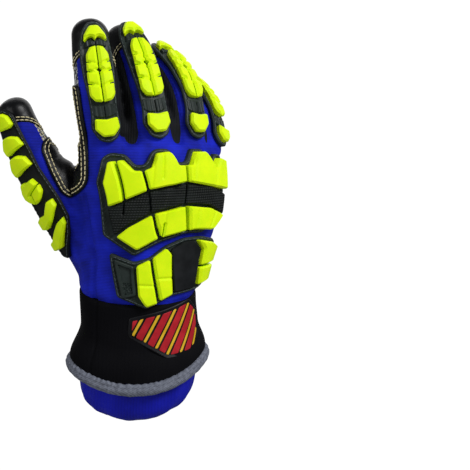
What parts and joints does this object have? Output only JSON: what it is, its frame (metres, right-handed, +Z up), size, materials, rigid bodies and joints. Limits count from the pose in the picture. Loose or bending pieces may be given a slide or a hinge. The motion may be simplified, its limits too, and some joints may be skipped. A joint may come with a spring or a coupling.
{
  "type": "impact glove",
  "caption": "Right-hand work glove of blue and grey knit with leather patches, bright moulded impact guards on the back, and a slip-on cuff.",
  "frame": {"origin": "middle of the mouth at the inner cuff's lower edge, where the hand goes in", "axes": "+Z up along the forearm to the fingertips; -Y the way the back of the hand faces; -X the thumb side"},
  "size_m": [0.1649, 0.108, 0.2728],
  "materials": {
    "blue_knit": "royal blue stretch knit",
    "grey_knit": "grey marl cut-resistant knit",
    "black_leather": "smooth black leather",
    "black_fabric": "black stretch fabric",
    "neoprene": "matte black neoprene",
    "grey_piping": "grey reflective tape",
    "black_rubber": "satin moulded rubber",
    "bright_rubber": "fluorescent yellow moulded rubber",
    "print": "heat-pressed print"
  },
  "bodies": {
    "root": {"back_panel": "blue_knit", "cuff": "neoprene", "cuff_badge": "print", "index_cap": "black_leather", "index_guard_base": "black_rubber", "index_guard_knuckle_pad": "bright_rubber", "index_guard_mid_pad": "bright_rubber", "index_guard_tip_pad": "bright_rubber", "index_middle_slot": "black_fabric", "index_side_patch": "black_leather", "inner_cuff": "blue_knit", "knuckle_guard_band": "black_rubber", "knuckle_guard_base": "black_rubber", "knuckle_guard_first_low_pad": "bright_rubber", "knuckle_guard_first_top_pad": "bright_rubber", "knuckle_guard_fourth_top_pad": "bright_rubber", "knuckle_guard_second_low_pad": "bright_rubber", "knuckle_guard_second_top_pad": "bright_rubber", "knuckle_guard_third_low_pad": "bright_rubber", "knuckle_guard_third_top_pad": "bright_rubber", "little_cap": "black_leather", "little_guard_base": "black_rubber", "little_guard_knuckle_pad": "bright_rubber", "little_guard_mid_pad": "bright_rubber", "little_guard_tip_pad": "bright_rubber", "middle_cap": "black_leather", "middle_guard_base": "black_rubber", "middle_guard_knuckle_pad": "bright_rubber", "middle_guard_mid_pad": "bright_rubber", "middle_guard_tip_pad": "bright_rubber", "middle_ring_slot": "black_fabric", "palm_panel": "grey_knit", "palm_patch": "black_leather", "piping": "grey_piping", "pull_tab": "bright_rubber", "ring_cap": "black_leather", "ring_guard_base": "black_rubber", "ring_guard_knuckle_pad": "bright_rubber", "ring_guard_mid_pad": "bright_rubber", "ring_guard_tip_pad": "bright_rubber", "ring_little_slot": "black_fabric", "saddle_patch": "black_leather", "thumb_cap": "black_leather", "thumb_guard_base": "black_rubber", "thumb_guard_lower_bar": "bright_rubber", "thumb_guard_middle_pad": "bright_rubber", "thumb_guard_second_pad": "bright_rubber", "thumb_guard_third_pad": "bright_rubber", "thumb_guard_tip_pad": "bright_rubber", "thumb_guard_upper_bar": "bright_rubber", "thumb_patch": "black_leather", "wrist_guard_base": "black_rubber", "wrist_guard_first_pad": "bright_rubber", "wrist_guard_lower_side_pad": "bright_rubber", "wrist_guard_middle_panel": "black_rubber", "wrist_guard_second_pad": "bright_rubber", "wrist_guard_side_panel": "black_rubber", "wrist_guard_upper_side_pad": "bright_rubber"}
  },
  "joints": []
}
